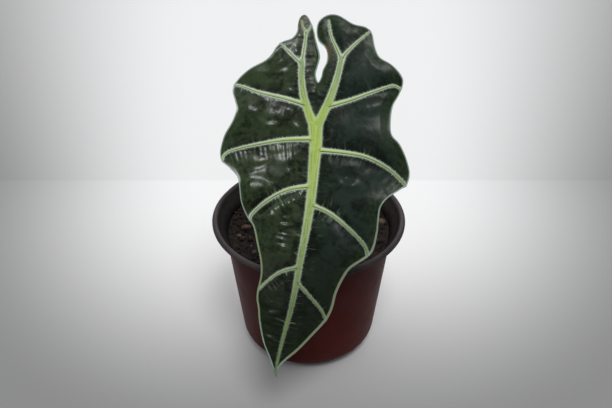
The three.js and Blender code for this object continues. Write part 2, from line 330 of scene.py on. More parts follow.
pot.data.materials.append(finish_of("pot_outside", paint_pot_outside))
pot.data.materials.append(finish_of("pot_inside", paint_pot_inside))
lip_underside = pot_height - 3.1 * MM
for face in pot.data.polygons:
    outwards = Vector((face.center.x, face.center.y, 0))
    inner = face.normal.dot(outwards) < 0 or face.normal.z > 0.2
    if face.center.z > lip_underside or (inner and face.center.z > wall / 2):
        face.material_index = 1
activate(pot)
bpy.ops.object.shade_smooth_by_angle(angle=math.radians(35))
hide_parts("nursery_pot")
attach(pot, "root")

# ---- Potting mix ----
# Damp peat and coir, filled to just below the lip and never pressed, so its top is crumbly: an uneven
# mound, loose crumbs of all sizes on it and a few dry fibres.
soil_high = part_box("potting_soil")[1]
soil_gap = 0.35 * MM  # between the mix and the pot
soil_edge = 83 * MM
soil_crown = soil_high.z - soil_edge


def soil_height(x, y):
    """Height of the mix's rough surface."""
    share = min(1, math.hypot(x, y) / (52.8 * MM))
    spot = Vector((x, y, 0)) / MM
    lumps = noise.noise(spot * 0.11) * 1.3 + noise.noise(spot * 0.34 + Vector((7, 3, 1))) * 0.8
    grit = noise.noise(spot * 0.95 + Vector((2, 9, 5))) * 0.45
    return soil_edge - 0.4 * MM + soil_crown * (1 - share * share) + (lumps + grit) * MM


soil_section = cup_section(wall + soil_gap, soil_edge)
soil_edge_radius = soil_section[-1][0]
rings = 62
for ring in range(1, rings):
    soil_section.append((soil_edge_radius * (1 - ring / rings), soil_edge))
soil = turned("potting_mix", soil_section, 200)
for vertex in soil.data.vertices:
    if vertex.co.z > soil_edge - 0.01 * MM:
        vertex.co.z = soil_height(vertex.co.x, vertex.co.y)
    elif vertex.co.z < recess_top:
        for turn in recess_turns:
            moved = sink_into_recess(vertex.co, turn, wall + soil_gap)
            if moved is not None:
                vertex.co = moved
activate(soil)
bpy.ops.object.shade_smooth()


def paint_soil(start):
    place = place_of(start)
    grains = place.node("TexVoronoi", {}, {"Vector": place, "Scale": 900.0})
    lumps = place.noise(160, detail=5, roughness=0.7)
    fibre = place.noise(700, detail=4, roughness=0.8)
    dark = lumps.rise(0.35, 0.7).colour((0.0075, 0.0057, 0.0048), (0.03, 0.021, 0.0155))
    flecked = (fibre.rise(0.56, 0.68) * 0.8).colour(dark, (0.07, 0.046, 0.034))
    return {
        "Base Color": flecked,
        "Roughness": 0.75 + lumps * 0.2,
        "Specular IOR Level": 0.35,
        "Normal": bump(start, grains * 0.5 + lumps + fibre * 0.4, 1.1 * MM),
    }


soil.data.materials.append(finish_of("damp_peat", paint_soil))
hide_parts("potting_soil")
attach(soil, "root")

corm_low, corm_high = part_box("corm")
corm_middle = Vector(((corm_low.x + corm_high.x) / 2, (corm_low.y + corm_high.y) / 2, 0))
corm_radius = (corm_high.x - corm_low.x) / 2


def scattered(count, seed, edge, keep_from_corm):
    """Seeded places on the mix's surface, away from the corm."""
    dice = random.Random(seed)
    places = []
    while len(places) < count:
        angle = dice.uniform(0, 2 * math.pi)
        out = edge * math.sqrt(dice.random())
        x, y = out * math.cos(angle), out * math.sin(angle)
        if math.hypot(x - corm_middle.x, y - corm_middle.y) > corm_radius + keep_from_corm:
            places.append((Vector((x, y, soil_height(x, y))), dice))
    return places


def crumb_mesh(places, size_of, squash):
    """Many rough grains joined in one mesh, with a tone for each in the attribute tone."""
    shape = bmesh.new()
    bmesh.ops.create_icosphere(shape, subdivisions=1, radius=1)
    corners = [v.co.copy() for v in shape.verts]
    faces = [[v.index for v in f.verts] for f in shape.faces]
    shape.free()
    points, polygons, tones = [], [], []
    for spot, dice in places:
        size = size_of(dice)
        turn = Matrix.Rotation(dice.uniform(0, 6.3), 3, (dice.random(), dice.random(), dice.random() + 0.1))
        spread = Vector((dice.uniform(0.7, 1.3), dice.uniform(0.7, 1.3), squash * dice.uniform(0.7, 1.2)))
        seed = Vector((dice.random() * 40, dice.random() * 40, 0))
        tone = dice.random()
        first = len(points)
        for corner in corners:
            rough = 1 + 0.45 * noise.noise(corner * 1.6 + seed)
            local = turn @ Vector((corner.x * spread.x, corner.y * spread.y, corner.z * spread.z))
            points.append(spot + local * size * rough)
            tones.append(tone)
        polygons += [[first + i for i in face] for face in faces]
    mesh = bpy.data.meshes.new("crumbs")
    mesh.from_pydata(points, [], polygons)
    mesh.attributes.new("tone", "FLOAT", "POINT").data.foreach_set("value", tones)
    return mesh


def paint_crumbs(start):
    place = place_of(start)
    tone = start.node("Attribute", {"attribute_name": "tone"}, {}, out=2)
    rough = place.noise(1500, detail=4, roughness=0.7)
    stops = [(0, (0.005, 0.0042, 0.0038)), (0.5, (0.013, 0.0098, 0.008)), (0.8, (0.034, 0.023, 0.018)),
             (0.92, (0.06, 0.036, 0.027)), (0.985, (0.12, 0.072, 0.052)), (1, (0.2, 0.15, 0.11))]
    body = tone.node("ValToRGB", {"stops": stops}, {"Fac": tone})
    return {
        "Base Color": (rough.rise(0.4, 0.7) * 0.5).colour(body, (0.03, 0.022, 0.018)),
        "Roughness": 0.85,
        "Specular IOR Level": 0.3,
        "Normal": bump(start, rough, 0.35 * MM),
    }


def crumb_size(dice):
    return (0.35 + 1.15 * dice.random() ** 3) * MM


crumbs = bpy.data.objects.new(
    "soil_crumbs", crumb_mesh(scattered(1500, 5, soil_edge_radius - 0.8 * MM, 0.4 * MM), crumb_size, 0.8))
bpy.context.scene.collection.objects.link(crumbs)
crumbs.data.materials.append(finish_of("crumb", paint_crumbs))
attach(crumbs, "root")

# ---- Bark chips ----
# Flakes of composted pine bark, orange-brown to tan, that lie half sunk in the mix. Each is a split
# slab with a layered grain, so it is longer than it is thick and its ends are broken.


def paint_bark(start):
    place = place_of(start)
    layers = place.stretch(1, 1, 3).noise(500, detail=5, roughness=0.65, distortion=0.6)
    pits = place.noise(1300, detail=3).rise(0.55, 0.7)
    kind = start.node("Attribute", {"attribute_name": "kind"}, {}, out=2)
    stops = [(0.3, (0.02, 0.012, 0.009)), (0.5, (0.07, 0.038, 0.026)), (0.72, (0.15, 0.095, 0.066))]
    body = layers.node("ValToRGB", {"stops": stops}, {"Fac": layers + (kind - 0.5) * 0.5})
    return {
        "Base Color": (pits * 0.55).colour(body, (0.022, 0.013, 0.01)),
        "Roughness": 0.8,
        "Specular IOR Level": 0.3,
        "Normal": bump(start, layers, 0.5 * MM),
    }


bark_finish = finish_of("pine_bark", paint_bark)
for number in range(1, 23):
    node = f"bark_chip_{number:02d}"
    low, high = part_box(node)
    middle, size = (low + high) / 2, high - low
    bpy.ops.object.select_all(action="DESELECT")
    bpy.ops.mesh.primitive_cube_add(size=1)
    chip = bpy.context.object
    chip.name = f"chip_{number:02d}"
    bpy.ops.object.mode_set(mode="EDIT")
    bpy.ops.mesh.subdivide(number_cuts=5)
    bpy.ops.object.mode_set(mode="OBJECT")
    kinds = [number * 7 % 11 / 10] * len(chip.data.vertices)
    chip.data.attributes.new("kind", "FLOAT", "POINT").data.foreach_set("value", kinds)
    seed = Vector((number * 3.7, number * 1.9, 0))
    for vertex in chip.data.vertices:
        rounded = vertex.co.normalized() * 0.5
        local = vertex.co.lerp(rounded, 0.72)
        rough = 1 + 0.28 * noise.noise(local * 3.2 + seed) + 0.14 * noise.noise(local * 9 + seed)
        local = local * rough
        vertex.co = middle + Vector((local.x * size.x, local.y * size.y, local.z * size.z)) * 1.06
    activate(chip)
    bpy.ops.object.shade_smooth_by_angle(angle=math.radians(40))
    chip.data.materials.append(bark_finish)
    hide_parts(node)
    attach(chip, "root")

# ---- Corm ----
# The squat underground stem. Only its crown shows above the mix, brown, ringed by old leaf scars.
corm_section = [(3, 0), (6, 0.8), (8.4, 3), (9.8, 6), (10.4, 8), (10, 9), (11, 11.5), (10.6, 12.6),
                (11, 15.5), (10.3, 16.6), (9.7, 19), (8.6, 20.2), (6, 21.3), (3, 21.9)]
corm = turned("corm_crown", [(r * MM, corm_low.z + h * MM) for r, h in corm_section], 64)
for vertex in corm.data.vertices:
    spot = vertex.co / MM
    rough = 1 + 0.03 * noise.noise(Vector((spot.x * 0.5, spot.y * 0.5, spot.z * 0.2)))
    vertex.co = corm_middle + Vector((vertex.co.x * rough, vertex.co.y * rough, vertex.co.z))
activate(corm)
bpy.ops.object.shade_smooth()


def paint_corm(start):
    place = place_of(start)
    rings = place.stretch(0.15, 0.15, 1).noise(900, detail=4)
    skin = place.noise(300, detail=5, roughness=0.7)
    brown = skin.rise(0.35, 0.65).colour((0.05, 0.026, 0.015), (0.16, 0.095, 0.055))
    return {
        "Base Color": rings.rise(0.55, 0.7).colour(brown, (0.06, 0.035, 0.022)),
        "Roughness": 0.78,
        "Specular IOR Level": 0.3,
        "Normal": bump(start, rings + skin, 0.4 * MM),
    }


corm.data.materials.append(finish_of("corm_skin", paint_corm))
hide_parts("corm")
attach(corm, "root")

# ---- Leaf blade ----
# One grown sheet, arrow-shaped, leathery and half a millimetre thick. The stalk joins its back where
# the midrib and the two lobe veins part. The panels between the veins bulge towards the light, the
# margins wave, and the veins stand proud as pale ribs, low above and high below.
leaf_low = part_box("leaf_blade")[0]
leaf_lean = math.radians(36)  # of the blade from upright, at the join
leaf_arch = 590.0  # radius of its long arch, in millimetres like all that lies in the flat blade
leaf_join = leaf_low + Vector((53, 68.9, 124.1)) * MM  # where the stalk meets the blade

# The flat blade's margins as (across, along) from the join, along running towards the tip.
left_margin = [
    (0.3, -28), (0.3, -31.5), (2, -37.5), (2.3, -41), (0.3, -49), (-0.7, -54.5), (-3, -60.5),
    (-5.5, -63.5), (-8, -62.5), (-9.5, -58.5), (-10, -54), (-13, -50), (-18, -48), (-21.5, -45),
    (-24, -41), (-28, -37), (-36.5, -32.5), (-43, -27), (-46, -21.5), (-44.5, -15), (-43.5, -10),
    (-46, -3), (-50.5, 4.5), (-53, 13), (-52, 18), (-47.5, 22), (-43, 27), (-42, 33), (-41, 41.5),
    (-38, 49), (-34.5, 54.5), (-32.5, 63.5), (-30.5, 74), (-30.5, 82), (-32.8, 93.5), (-32, 101),
    (-31.5, 108), (-29.5, 120), (-26, 130), (-24, 136.5)]
right_margin = [
    (3.2, -28.5), (4, -32), (6.3, -37), (6.6, -42), (5, -45.5), (1.7, -49), (0.6, -54.5),
    (2, -60), (7, -63.5), (13, -63), (21, -58), (28, -56), (31.5, -52.5), (33, -45), (35.5, -39),
    (42, -34.5), (47, -29), (48.5, -24.5), (46.5, -18.5), (43, -12), (41.5, -3), (42, 4),
    (46.5, 9.5), (50.5, 17.5), (52.5, 25), (51, 31), (47, 34), (40, 38.5), (36, 43.5), (35, 50),
    (34.5, 58), (32.5, 67), (29, 71.5), (20, 77.5), (16, 83), (12, 91.5), (9.5, 101), (6, 108),
    (-1.5, 116.5), (-10, 126), (-18, 133), (-21.5, 137.5)]
sinus, tip = (1.5, -25.5), (-22, 142.5)

# Each vein's course, then its half width at its start and its end.
midrib = [(0, -1), (0.2, 8), (-0.6, 18), (-2.6, 40), (-5.8, 60), (-8.5, 74), (-10.5, 86),
          (-13.9, 102.5), (-18.6, 120), (-21.6, 133), (-22.6, 141)]
veins = [
    (midrib, 3.7, 0.4),
    ([(0, 0), (-3.3, -7.2), (-6.7, -18.4), (-7.8, -29.6), (-7.5, -37)], 2.6, 1.5),
    ([(-7.5, -36.5), (-6.4, -43), (-5.3, -52.8), (-7, -57), (-7.8, -60.5)], 1.1, 0.4),
    ([(-5.3, -52.8), (-3.6, -55.1), (-2.4, -57.5)], 0.5, 0.3),
    ([(-7.6, -35.8), (-10.9, -38.6), (-16.4, -44), (-19.4, -47)], 1.1, 0.45),
    ([(0, 0), (3.9, -7.2), (8.9, -18.4), (12.5, -29.6), (14.5, -38.5)], 2.7, 1.5),
    ([(14.4, -37.6), (12.6, -42.6), (9, -51.1), (7.5, -60)], 1.1, 0.4),
    ([(14.6, -38), (17, -41.5), (23.2, -47.7), (30.5, -53.7)], 1.1, 0.4),
    ([(-6, -13), (-17, -16.2), (-30.9, -19.5), (-40.3, -23), (-44.8, -24)], 1.5, 0.6),
    ([(7.5, -12), (19.2, -15.3), (30.3, -19.2), (40.3, -22.6), (44, -23), (47.2, -21.5)], 1.4, 0.6),
    ([(-0.8, 6.1), (-17, 6.7), (-33.6, 9.4), (-46.4, 12.5), (-50.6, 14.9), (-51.8, 18)], 1.5, 0.6),
    ([(-0.3, 12.2), (16.4, 13.9), (28.6, 16.4), (40.3, 22.5), (48.1, 29.5), (50, 32)], 1.5, 0.75),
    ([(-2.5, 32.2), (-15.3, 34.2), (-26.4, 39.8), (-35.1, 47.3), (-36.6, 51.2)], 1.4, 0.7),
    ([(-3.1, 42.3), (8.1, 47.3), (19.3, 56.5), (27.1, 65), (29.3, 71)], 1.2, 0.6),
    ([(-10, 77.7), (-19.9, 80.3), (-27.7, 86), (-31.6, 90)], 1.0, 0.45),
    ([(-10.5, 86), (-3.6, 93.7), (3.2, 101.8), (6, 108)], 0.8, 0.5),
]
# Swells and dimples of the sheet: (across, along), how far each reaches both ways, and its height.
swells = [
    ((-30, 45), (13, 11), 4.2), ((-42, 34), (7, 6), 1.5), ((-15, 38), (6, 9), 2.4),
    ((-16, 66), (9, 14), 3.5), ((-17, -38), (7, 4), 1.4), ((-14, -14), (5, 5), 1.4),
    ((-36, -12), (8, 6), 1.7), ((-9, 1), (3, 3), 0.8), ((7.5, 3), (2.5, 3), 0.9),
    ((17.5, 27), (3.5, 3), -1.9), ((20, 32), (4, 3), 1.2), ((7.5, -13), (3, 6), 1.2),
    ((30, -13), (12, 5), 1.2), ((12, 68), (8, 10), 1.8), ((17, 54), (6, 8), 1.2),
    ((10, -52), (6, 8), 1.2), ((38, 35), (9, 7), -1.4),
]
grain = 0.6  # between neighbouring points of the blade


def smooth_line(points, closed=False, steps=8):
    """A smooth line through the points."""
    line = np.array(points, float)
    before = line[-1:] if closed else 2 * line[:1] - line[1:2]
    after = line[:2] if closed else 2 * line[-1:] - line[-2:-1]
    line = np.concatenate([before, line, after])
    share = np.linspace(0, 1, steps, endpoint=False)[None, :, None]
    a, b, c, d = (line[i:len(line) - 3 + i, None, :] for i in range(4))
    curve = 0.5 * (2 * b + (c - a) * share + (2 * a - 5 * b + 4 * c - d) * share ** 2
                   + (3 * b - a - 3 * c + d) * share ** 3)
    curve = curve.reshape(-1, 2)
    return curve if closed else np.concatenate([curve, line[-2:-1]])


def nearest_on(line, points):
    """For each point: its gap to the line, how far along the line's nearest spot is, that spot, and 1 on
    the line's lower side or -1 on its upper one. Then the line's length."""
    starts, ways = line[:-1], np.diff(line, axis=0)
    lengths = np.hypot(*ways.T)
    run = np.concatenate([[0], np.cumsum(lengths)])
    best = np.full(len(points), 1e9)
    along = np.zeros(len(points))
    spots = np.zeros((len(points), 2))
    sides = np.ones(len(points))
    for i in range(len(starts)):
        share = np.clip(((points - starts[i]) @ ways[i]) / max(lengths[i] ** 2, 1e-12), 0, 1)
        spot = starts[i] + share[:, None] * ways[i]
        gap = np.hypot(*(points - spot).T)
        closer = gap < best
        best[closer] = gap[closer]
        along[closer] = (run[i] + share * lengths[i])[closer]
        spots[closer] = spot[closer]
        cross = ways[i, 0] * (points[:, 1] - starts[i, 1]) - ways[i, 1] * (points[:, 0] - starts[i, 0])
        sides[closer] = np.sign(cross[closer]) * (-1 if line[-1, 0] < line[0, 0] else 1)
    return best, along, spots, sides, run[-1]


def inside_line(line, points):
    """Which points lie inside a closed line."""
    within = np.zeros(len(points), bool)
    x, y = points.T
    for (x0, y0), (x1, y1) in zip(line, np.roll(line, -1, axis=0)):
        if y0 != y1:
            crosses = ((y0 > y) != (y1 > y)) & (x < (x1 - x0) * (y - y0) / (y1 - y0) + x0)
            within ^= crosses
    return within


def cloud(points, scale, seed):
    """Smooth noise from -1 to 1 at flat points."""
    return np.array([noise.noise(Vector((p[0] * scale[0], p[1] * scale[1], seed))) for p in points])


outline = smooth_line([sinus, *left_margin, tip, *right_margin[::-1]], closed=True)
low_corner, high_corner = outline.min(0) - grain, outline.max(0) + grain
columns, rows = np.ceil((high_corner - low_corner) / grain).astype(int)
bpy.ops.object.select_all(action="DESELECT")
bpy.ops.mesh.primitive_grid_add(x_subdivisions=columns, y_subdivisions=rows, size=1)
leaf = bpy.context.object
leaf.name = "leaf"
bpy.ops.object.mode_set(mode="EDIT")
bpy.ops.transform.resize(value=(columns * grain, rows * grain, 1), center_override=(0, 0, 0))
bpy.ops.object.mode_set(mode="OBJECT")
middle = (low_corner + high_corner) / 2
flat = np.array([v.co[:2] for v in leaf.data.vertices]) + middle
centres = np.array([f.center[:2] for f in leaf.data.polygons]) + middle
kept = inside_line(outline, centres)
sheet = bmesh.new()
sheet.from_mesh(leaf.data)
sheet.faces.ensure_lookup_table()
bmesh.ops.delete(sheet, geom=[f for f in sheet.faces if not kept[f.index]], context="FACES")
sheet.verts.ensure_lookup_table()
on_edge = [v for v in sheet.verts if v.is_boundary]
edge_points = np.array([v.co[:2] for v in on_edge]) + middle
closed_outline = np.concatenate([outline, outline[:1]])
for vertex, spot in zip(on_edge, nearest_on(closed_outline, edge_points)[2] - middle):
    vertex.co.x, vertex.co.y = spot
for _ in range(3):
    near = [v for v in sheet.verts if not v.is_boundary
            and any(e.other_vert(v).is_boundary for e in v.link_edges)]
    bmesh.ops.smooth_vert(sheet, verts=near, factor=0.5, use_axis_x=True, use_axis_y=True)
sheet.to_mesh(leaf.data)
sheet.free()
flat = np.array([v.co[:2] for v in leaf.data.vertices]) + middle

# How each point lies to the veins and the margin, in millimetres.
edge = nearest_on(closed_outline, flat)[0]
beyond_all, vein_run, ratio, halves = [], [], [], []
for number, (course, half_start, half_end) in enumerate(veins):
    gap, along, _, below, length = nearest_on(smooth_line(course), flat)
    half = half_start + (half_end - half_start) * (along / length) ** 0.8
    beyond_all.append(gap - half)
    vein_run.append(along + 37 * number)
    ratio.append(below * gap / half)
    halves.append(half)
beyond_all = np.array(beyond_all)
nearest_vein = beyond_all.argmin(0)
column = np.arange(len(flat))
beyond = -0.5 * np.log(np.exp(-np.clip(beyond_all, -6, 30) / 0.5).sum(0))
run = np.array(vein_run)[nearest_vein, column]
core = np.array(ratio)[nearest_vein, column]
half_width = np.array(halves)[nearest_vein, column]
main_rib = np.isin(nearest_vein, (0, 1, 5)).astype(float)

# The blade's lift off its plain arch, in millimetres: folded up from the midrib, waved at the margins,
# bulged between the veins, puckered square to them and ribbed along them.
fold_up, fold_ease = 0.16, 0.0022
wave_height, wave_length, wave_reach = 1.8, 38, 45
quilting, upper_rib_height, under_rib_height = 1.3, 0.75, 1.5
share_down = np.clip(flat[:, 1], 0, None) / tip[1]
side = flat[:, 0] - tip[0] * share_down ** 1.6
reach = np.abs(side)
vein_end = np.where(side < 0, 14, 24)
wave = np.cos(2 * np.pi * (flat[:, 1] - vein_end) / wave_length)
lift = fold_up * reach - fold_ease * reach ** 2 - wave_height * wave * (reach / wave_reach) ** 2
panel = np.clip(beyond, 0, None)
open_sheet = np.clip(edge / 6, 0.15, 1) * (1 - np.exp(-(panel / 3) ** 2))
lift += quilting * (1 - np.exp(-(panel / 5.5) ** 2)) * np.clip(edge / 6, 0.2, 1)
for (x, y), (reach_x, reach_y), height in swells:
    away = ((flat[:, 0] - x) / reach_x) ** 2 + ((flat[:, 1] - y) / reach_y) ** 2
    lift += height * open_sheet * np.exp(-away)
lively = 0.3 + 0.7 / (1 + np.exp((side + 4) / 5))
lift += cloud(flat, (0.07, 0.045), 3.0) * 0.8
warped = flat + 2.5 * cloud(flat, (0.12, 0.12), 1.0)[:, None]
lift += cloud(warped, (0.1, 0.17), 8.0) * 0.9 * lively * open_sheet
pucker = np.array([noise.noise(Vector((r * 0.5, b * 0.07, 5.0))) for r, b in zip(run, panel)])
beside_midrib = np.exp(-((side + 11) / 6) ** 2) * np.clip(flat[:, 1] / 40, 0, 1)
ridges = lively * np.exp(-(panel / 7) ** 2) + 1.8 * beside_midrib
lift += 0.42 * pucker * ridges * np.clip(panel / 1.5, 0, 1) * np.clip(edge / 3, 0, 1)
rib = np.clip(-beyond, 0, None)
lift += upper_rib_height * (1 - np.exp(-(rib / 1.1) ** 2))
lift += 0.18 * np.exp(-(edge / 0.5) ** 2)

lean = leaf_lean - flat[:, 1] / leaf_arch
place = np.stack([
    flat[:, 0],
    -leaf_arch * (np.cos(lean) - math.cos(leaf_lean)) - lift * np.cos(lean),
    -leaf_arch * (math.sin(leaf_lean) - np.sin(lean)) + lift * np.sin(lean)], axis=1)
place = place * MM + np.array(leaf_join)
leaf.data.vertices.foreach_set("co", place.ravel())


def keep_attribute(name, values):
    leaf.data.attributes.new(name, "FLOAT", "POINT").data.foreach_set("value", values)


keep_attribute("beyond_rib", beyond)
keep_attribute("rib_across", core)
keep_attribute("rib_half", half_width)
keep_attribute("rib_main", main_rib)
keep_attribute("rib_run", run)
keep_attribute("from_edge", edge)
keep_attribute("off_midrib", side)
keep_attribute("across", flat[:, 0])
keep_attribute("along", flat[:, 1])
leaf.data.update()
sheet = bmesh.new()
sheet.from_mesh(leaf.data)
bmesh.ops.reverse_faces(sheet, faces=sheet.faces)
sheet.to_mesh(leaf.data)
sheet.free()

# The sheet gets its thickness backwards, and the back's ribs are raised once it has.
upper_count = len(leaf.data.vertices)
activate(leaf)
thicken = leaf.modifiers.new("thickness", "SOLIDIFY")
thicken.thickness = 0.55 * MM
thicken.offset = -1
thicken.material_offset = 1
thicken.use_even_offset = True
bpy.ops.object.modifier_apply(modifier="thickness")
normals = [v.normal.copy() for v in leaf.data.vertices]
back_rib = under_rib_height * (1 - np.exp(-(rib / 1.6) ** 2)) + 0.25 * np.exp(-(panel / 0.8) ** 2)
for i in range(upper_count):
    vertex = leaf.data.vertices[upper_count + i]
    vertex.co += normals[upper_count + i] * float(back_rib[i]) * MM
activate(leaf)
bpy.ops.object.shade_smooth_by_angle(angle=math.radians(60))


def leaf_value(start, name):
    return start.node("Attribute", {"attribute_name": name}, {}, out=2)


def flat_place(start, across, along, third=0.0):
    """The point on the flat blade, in millimetres."""
    return start.node("CombineXYZ", {}, {"X": across, "Y": along, "Z": third})


def paint_leaf_upper(start):
    beyond_rib = leaf_value(start, "beyond_rib")
    rib_across = leaf_value(start, "rib_across")
    rib_half = leaf_value(start, "rib_half")
    rib_run = leaf_value(start, "rib_run")
    from_edge = leaf_value(start, "from_edge")
    off_midrib = leaf_value(start, "off_midrib")
    across, along = leaf_value(start, "across"), leaf_value(start, "along")
    place = flat_place(start, across, along)
    clouds = place.noise(0.085, detail=4, roughness=0.6, distortion=0.8)
    mottle = place.noise(0.4, detail=4, roughness=0.7)
    fine = place.noise(2.2, detail=3, roughness=0.6)
    square = flat_place(start, rib_run + beyond_rib * 0.2, beyond_rib * 0.05, 4.0)
    low_half = along.rise(0, 55)
    # the dark sheet: black-green, greenest on the left and by the margin, bluer on the right, where a bluish
    # sheen is painted into its colour
    shade = clouds * 0.6 + mottle * 0.3 + beyond_rib.rise(0.5, 6) * 0.1
    left_green = shade.rise(0.4, 0.66).colour((0.0042, 0.0078, 0.002), (0.022, 0.044, 0.0068))
    right_blue_sheen = shade.rise(0.4, 0.66).colour((0.0044, 0.0082, 0.0048), (0.0155, 0.0295, 0.019))
    dark = off_midrib.rise(-12, 16).colour(left_green, right_blue_sheen)
    dark = (from_edge.rise(10, 0.8) * mottle.rise(0.3, 0.65) * 0.6).colour(dark, (0.027, 0.052, 0.011))
    # painted shade: the blade is painted darker towards the tip
    dark = (along.rise(45, 100) * 0.72).colour(dark, (0.0036, 0.0062, 0.0022))
    # fine pale veinlets square to the ribs, and the ribs' feathered sides
    level = square.noise(0.25, detail=1)
    veinlets = level.math("COMPARE", level, 0.5, 0.008) * place.noise(0.14, detail=2).rise(0.42, 0.55)
    veinlets = veinlets * beyond_rib.rise(9, 0.2) * (0.2 + low_half * rib_half.rise(0.75, 1.05) * 0.8)
    fringe = (square.noise(1.3, detail=3, roughness=0.75) * 2.4 - beyond_rib * 0.8).rise(0.5, 1.3)
    sheet = (veinlets * 0.5).colour(dark, (0.17, 0.23, 0.15))
    sheet = (fringe * (0.85 - along.rise(65, 125) * 0.5)).colour(sheet, (0.31, 0.39, 0.27))
    # the ribs: yellow-green where they part, whiter at their sides and greyer towards their ends; a thin
    # rib's pale upper edge is partly a painted highlight, and a dark line of painted shade runs along its
    # lower slope
    away = along.math("MAXIMUM", along * 0.5, along * -1.3)
    out = start.node("VectorMath", {"operation": "LENGTH"}, {0: flat_place(start, across * 1.2, away)}, out=1)
    fresh = out.rise(50, 2)
    bright = (along * 0.8 + off_midrib * 0.9).rise(92, 25)
    along_rib = flat_place(start, rib_run * 0.07, rib_across * rib_half, 9.0)
    streaks = along_rib.noise(1.6, detail=3, roughness=0.7)
    level = rib_across + (streaks - 0.5) * 0.5 + (fine - 0.5) * 0.3
    far = bright.colour((0.17, 0.25, 0.08), (0.34, 0.45, 0.225))
    yellow = fresh.colour(far, (0.47, 0.62, 0.15))
    white = bright.colour((0.22, 0.27, 0.16), (0.6, 0.7, 0.5))
    rib_shade_line = bright.colour((0.055, 0.085, 0.03), (0.13, 0.2, 0.05))
    thin_rib = level.rise(-0.8, -0.2).colour(white, yellow)
    # painted shade: the dark line on the thin rib's lower slope
    thin_rib = level.rise(0.05, 0.25).colour(thin_rib, rib_shade_line)
    thin_rib = level.rise(0.45, 0.65).colour(thin_rib, white)
    sides = level.math("ABSOLUTE", level).rise(0.55, 0.9)
    streak_colour = fresh.colour(bright.colour((0.1, 0.15, 0.06), (0.2, 0.27, 0.13)), (0.27, 0.41, 0.07))
    streaked = (streaks.rise(0.48, 0.64) * 0.75).colour(yellow, streak_colour)
    broad_rib = (sides * (1 - fresh * 0.6)).colour(streaked, white)
    rib_colour = leaf_value(start, "rib_main").colour(thin_rib, broad_rib)
    tip_end = along.rise(134, 139)
    rib_colour = tip_end.colour(rib_colour, (0.045, 0.085, 0.02))
    rib = (beyond_rib + (fine - 0.5) * 0.6).rise(0.15, -0.15)
    veined = rib.colour(sheet, rib_colour)
    # the margin: a thin pale line, twice as wide down the right of the tip
    thick = off_midrib.rise(-4, 6) * along.rise(38, 80)
    left_low = off_midrib.rise(-10, -20) * along.rise(40, 60)
    edging = (from_edge - thick * 0.75 - left_low * 0.25 + (mottle - 0.5) * 0.7).rise(0.85, 0.25)
    thin_line = left_low.colour((0.33, 0.43, 0.36), (0.25, 0.33, 0.17))
    edged = (edging * (0.9 - tip_end * 0.5)).colour(veined, thick.colour(thin_line, (0.22, 0.26, 0.165)))
    # age: brown scorch on the left lobe's tip and by the sinus
    lobe = start.node("VectorMath", {"operation": "LENGTH"},
                      {0: flat_place(start, (across + 8.5) * 1.2, (along + 62) * 0.5)}, out=1)
    by_sinus = start.node("VectorMath", {"operation": "LENGTH"},
                          {0: flat_place(start, across - 7.6, (along + 43) * 0.4)}, out=1)
    scorch = (lobe + mottle * 3).rise(8, 2.5) * 0.72 + (by_sinus + mottle * 2.4).rise(4.4, 1.6) * 0.8
    aged = (scorch * (1 - rib * 0.6)).colour(edged, (0.105, 0.082, 0.036))
    # the waxy gloss is patchy, strongest on the left, and fine grooves run through it square to the ribs
    gloss = (clouds * 0.6 + mottle * 0.4).rise(0.36, 0.56) * (1 - rib) * (1 - scorch)
    gloss = gloss * (1 - off_midrib.rise(-8, 14) * 0.78) * (1 - along.rise(75, 110) * 0.75)
    by_notch = start.node("VectorMath", {"operation": "LENGTH"},
                          {0: flat_place(start, across - 1, (along + 45) * 0.45)}, out=1)
    gloss = gloss * (1 - by_notch.rise(10, 5) * 0.8)
    grooves = square.noise(0.9, detail=2) * beyond_rib.rise(12, 1)
    return {
        "Base Color": aged,
        "Roughness": 0.36 + mottle * 0.14 + rib * 0.14 + scorch * 0.2,
        "IOR": 1.45,
        "Specular IOR Level": 0.16,
        "Coat Weight": gloss,
        "Coat Roughness": 0.26,
        "Normal": bump(start, mottle * 0.6 + grooves + veinlets * 0.5 + streaks * rib * 0.6, 0.2 * MM),
    }


def paint_leaf_under(start):
    beyond_rib = leaf_value(start, "beyond_rib")
    from_edge = leaf_value(start, "from_edge")
    rib_run = leaf_value(start, "rib_run")
    place = flat_place(start, leaf_value(start, "across"), leaf_value(start, "along"))
    clouds = place.noise(0.08, detail=4, roughness=0.6)
    fine = place.noise(1.4, detail=4, roughness=0.7)
    square = flat_place(start, rib_run, beyond_rib * 0.06, 4.0)
    threads = square.noise(0.9, detail=2, roughness=0.6).rise(0.6, 0.7) * beyond_rib.rise(9, 0.2)
    net = place.node("TexVoronoi", {"feature": "DISTANCE_TO_EDGE"}, {"Vector": place, "Scale": 0.5})
    sheet = clouds.rise(0.3, 0.7).colour((0.055, 0.05, 0.042), (0.085, 0.1, 0.06))
    sheet = (net.rise(0.12, 0.02) * 0.25).colour(sheet, (0.1, 0.12, 0.075))
    sheet = (threads * 0.35).colour(sheet, (0.16, 0.17, 0.11))
    rib = (beyond_rib + (fine - 0.5) * 0.4).rise(0.5, -0.3)
    ribbed = rib.colour(sheet, (0.21, 0.29, 0.115))
    edged = (from_edge.rise(1.1, 0.5) * 0.7).colour(ribbed, (0.2, 0.25, 0.15))
    return {
        "Base Color": edged,
        "Roughness": 0.5 + fine * 0.15,
        "IOR": 1.45,
        "Specular IOR Level": 0.35,
        "Normal": bump(start, fine + net * 0.6, 0.15 * MM),
    }


leaf.data.materials.append(finish_of("leaf_upper", paint_leaf_upper))
leaf.data.materials.append(finish_of("leaf_under", paint_leaf_under))
for face in leaf.data.polygons:
    face.material_index = 1 if min(face.vertices) >= upper_count else 0
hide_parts("leaf_blade")
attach(leaf, "root")

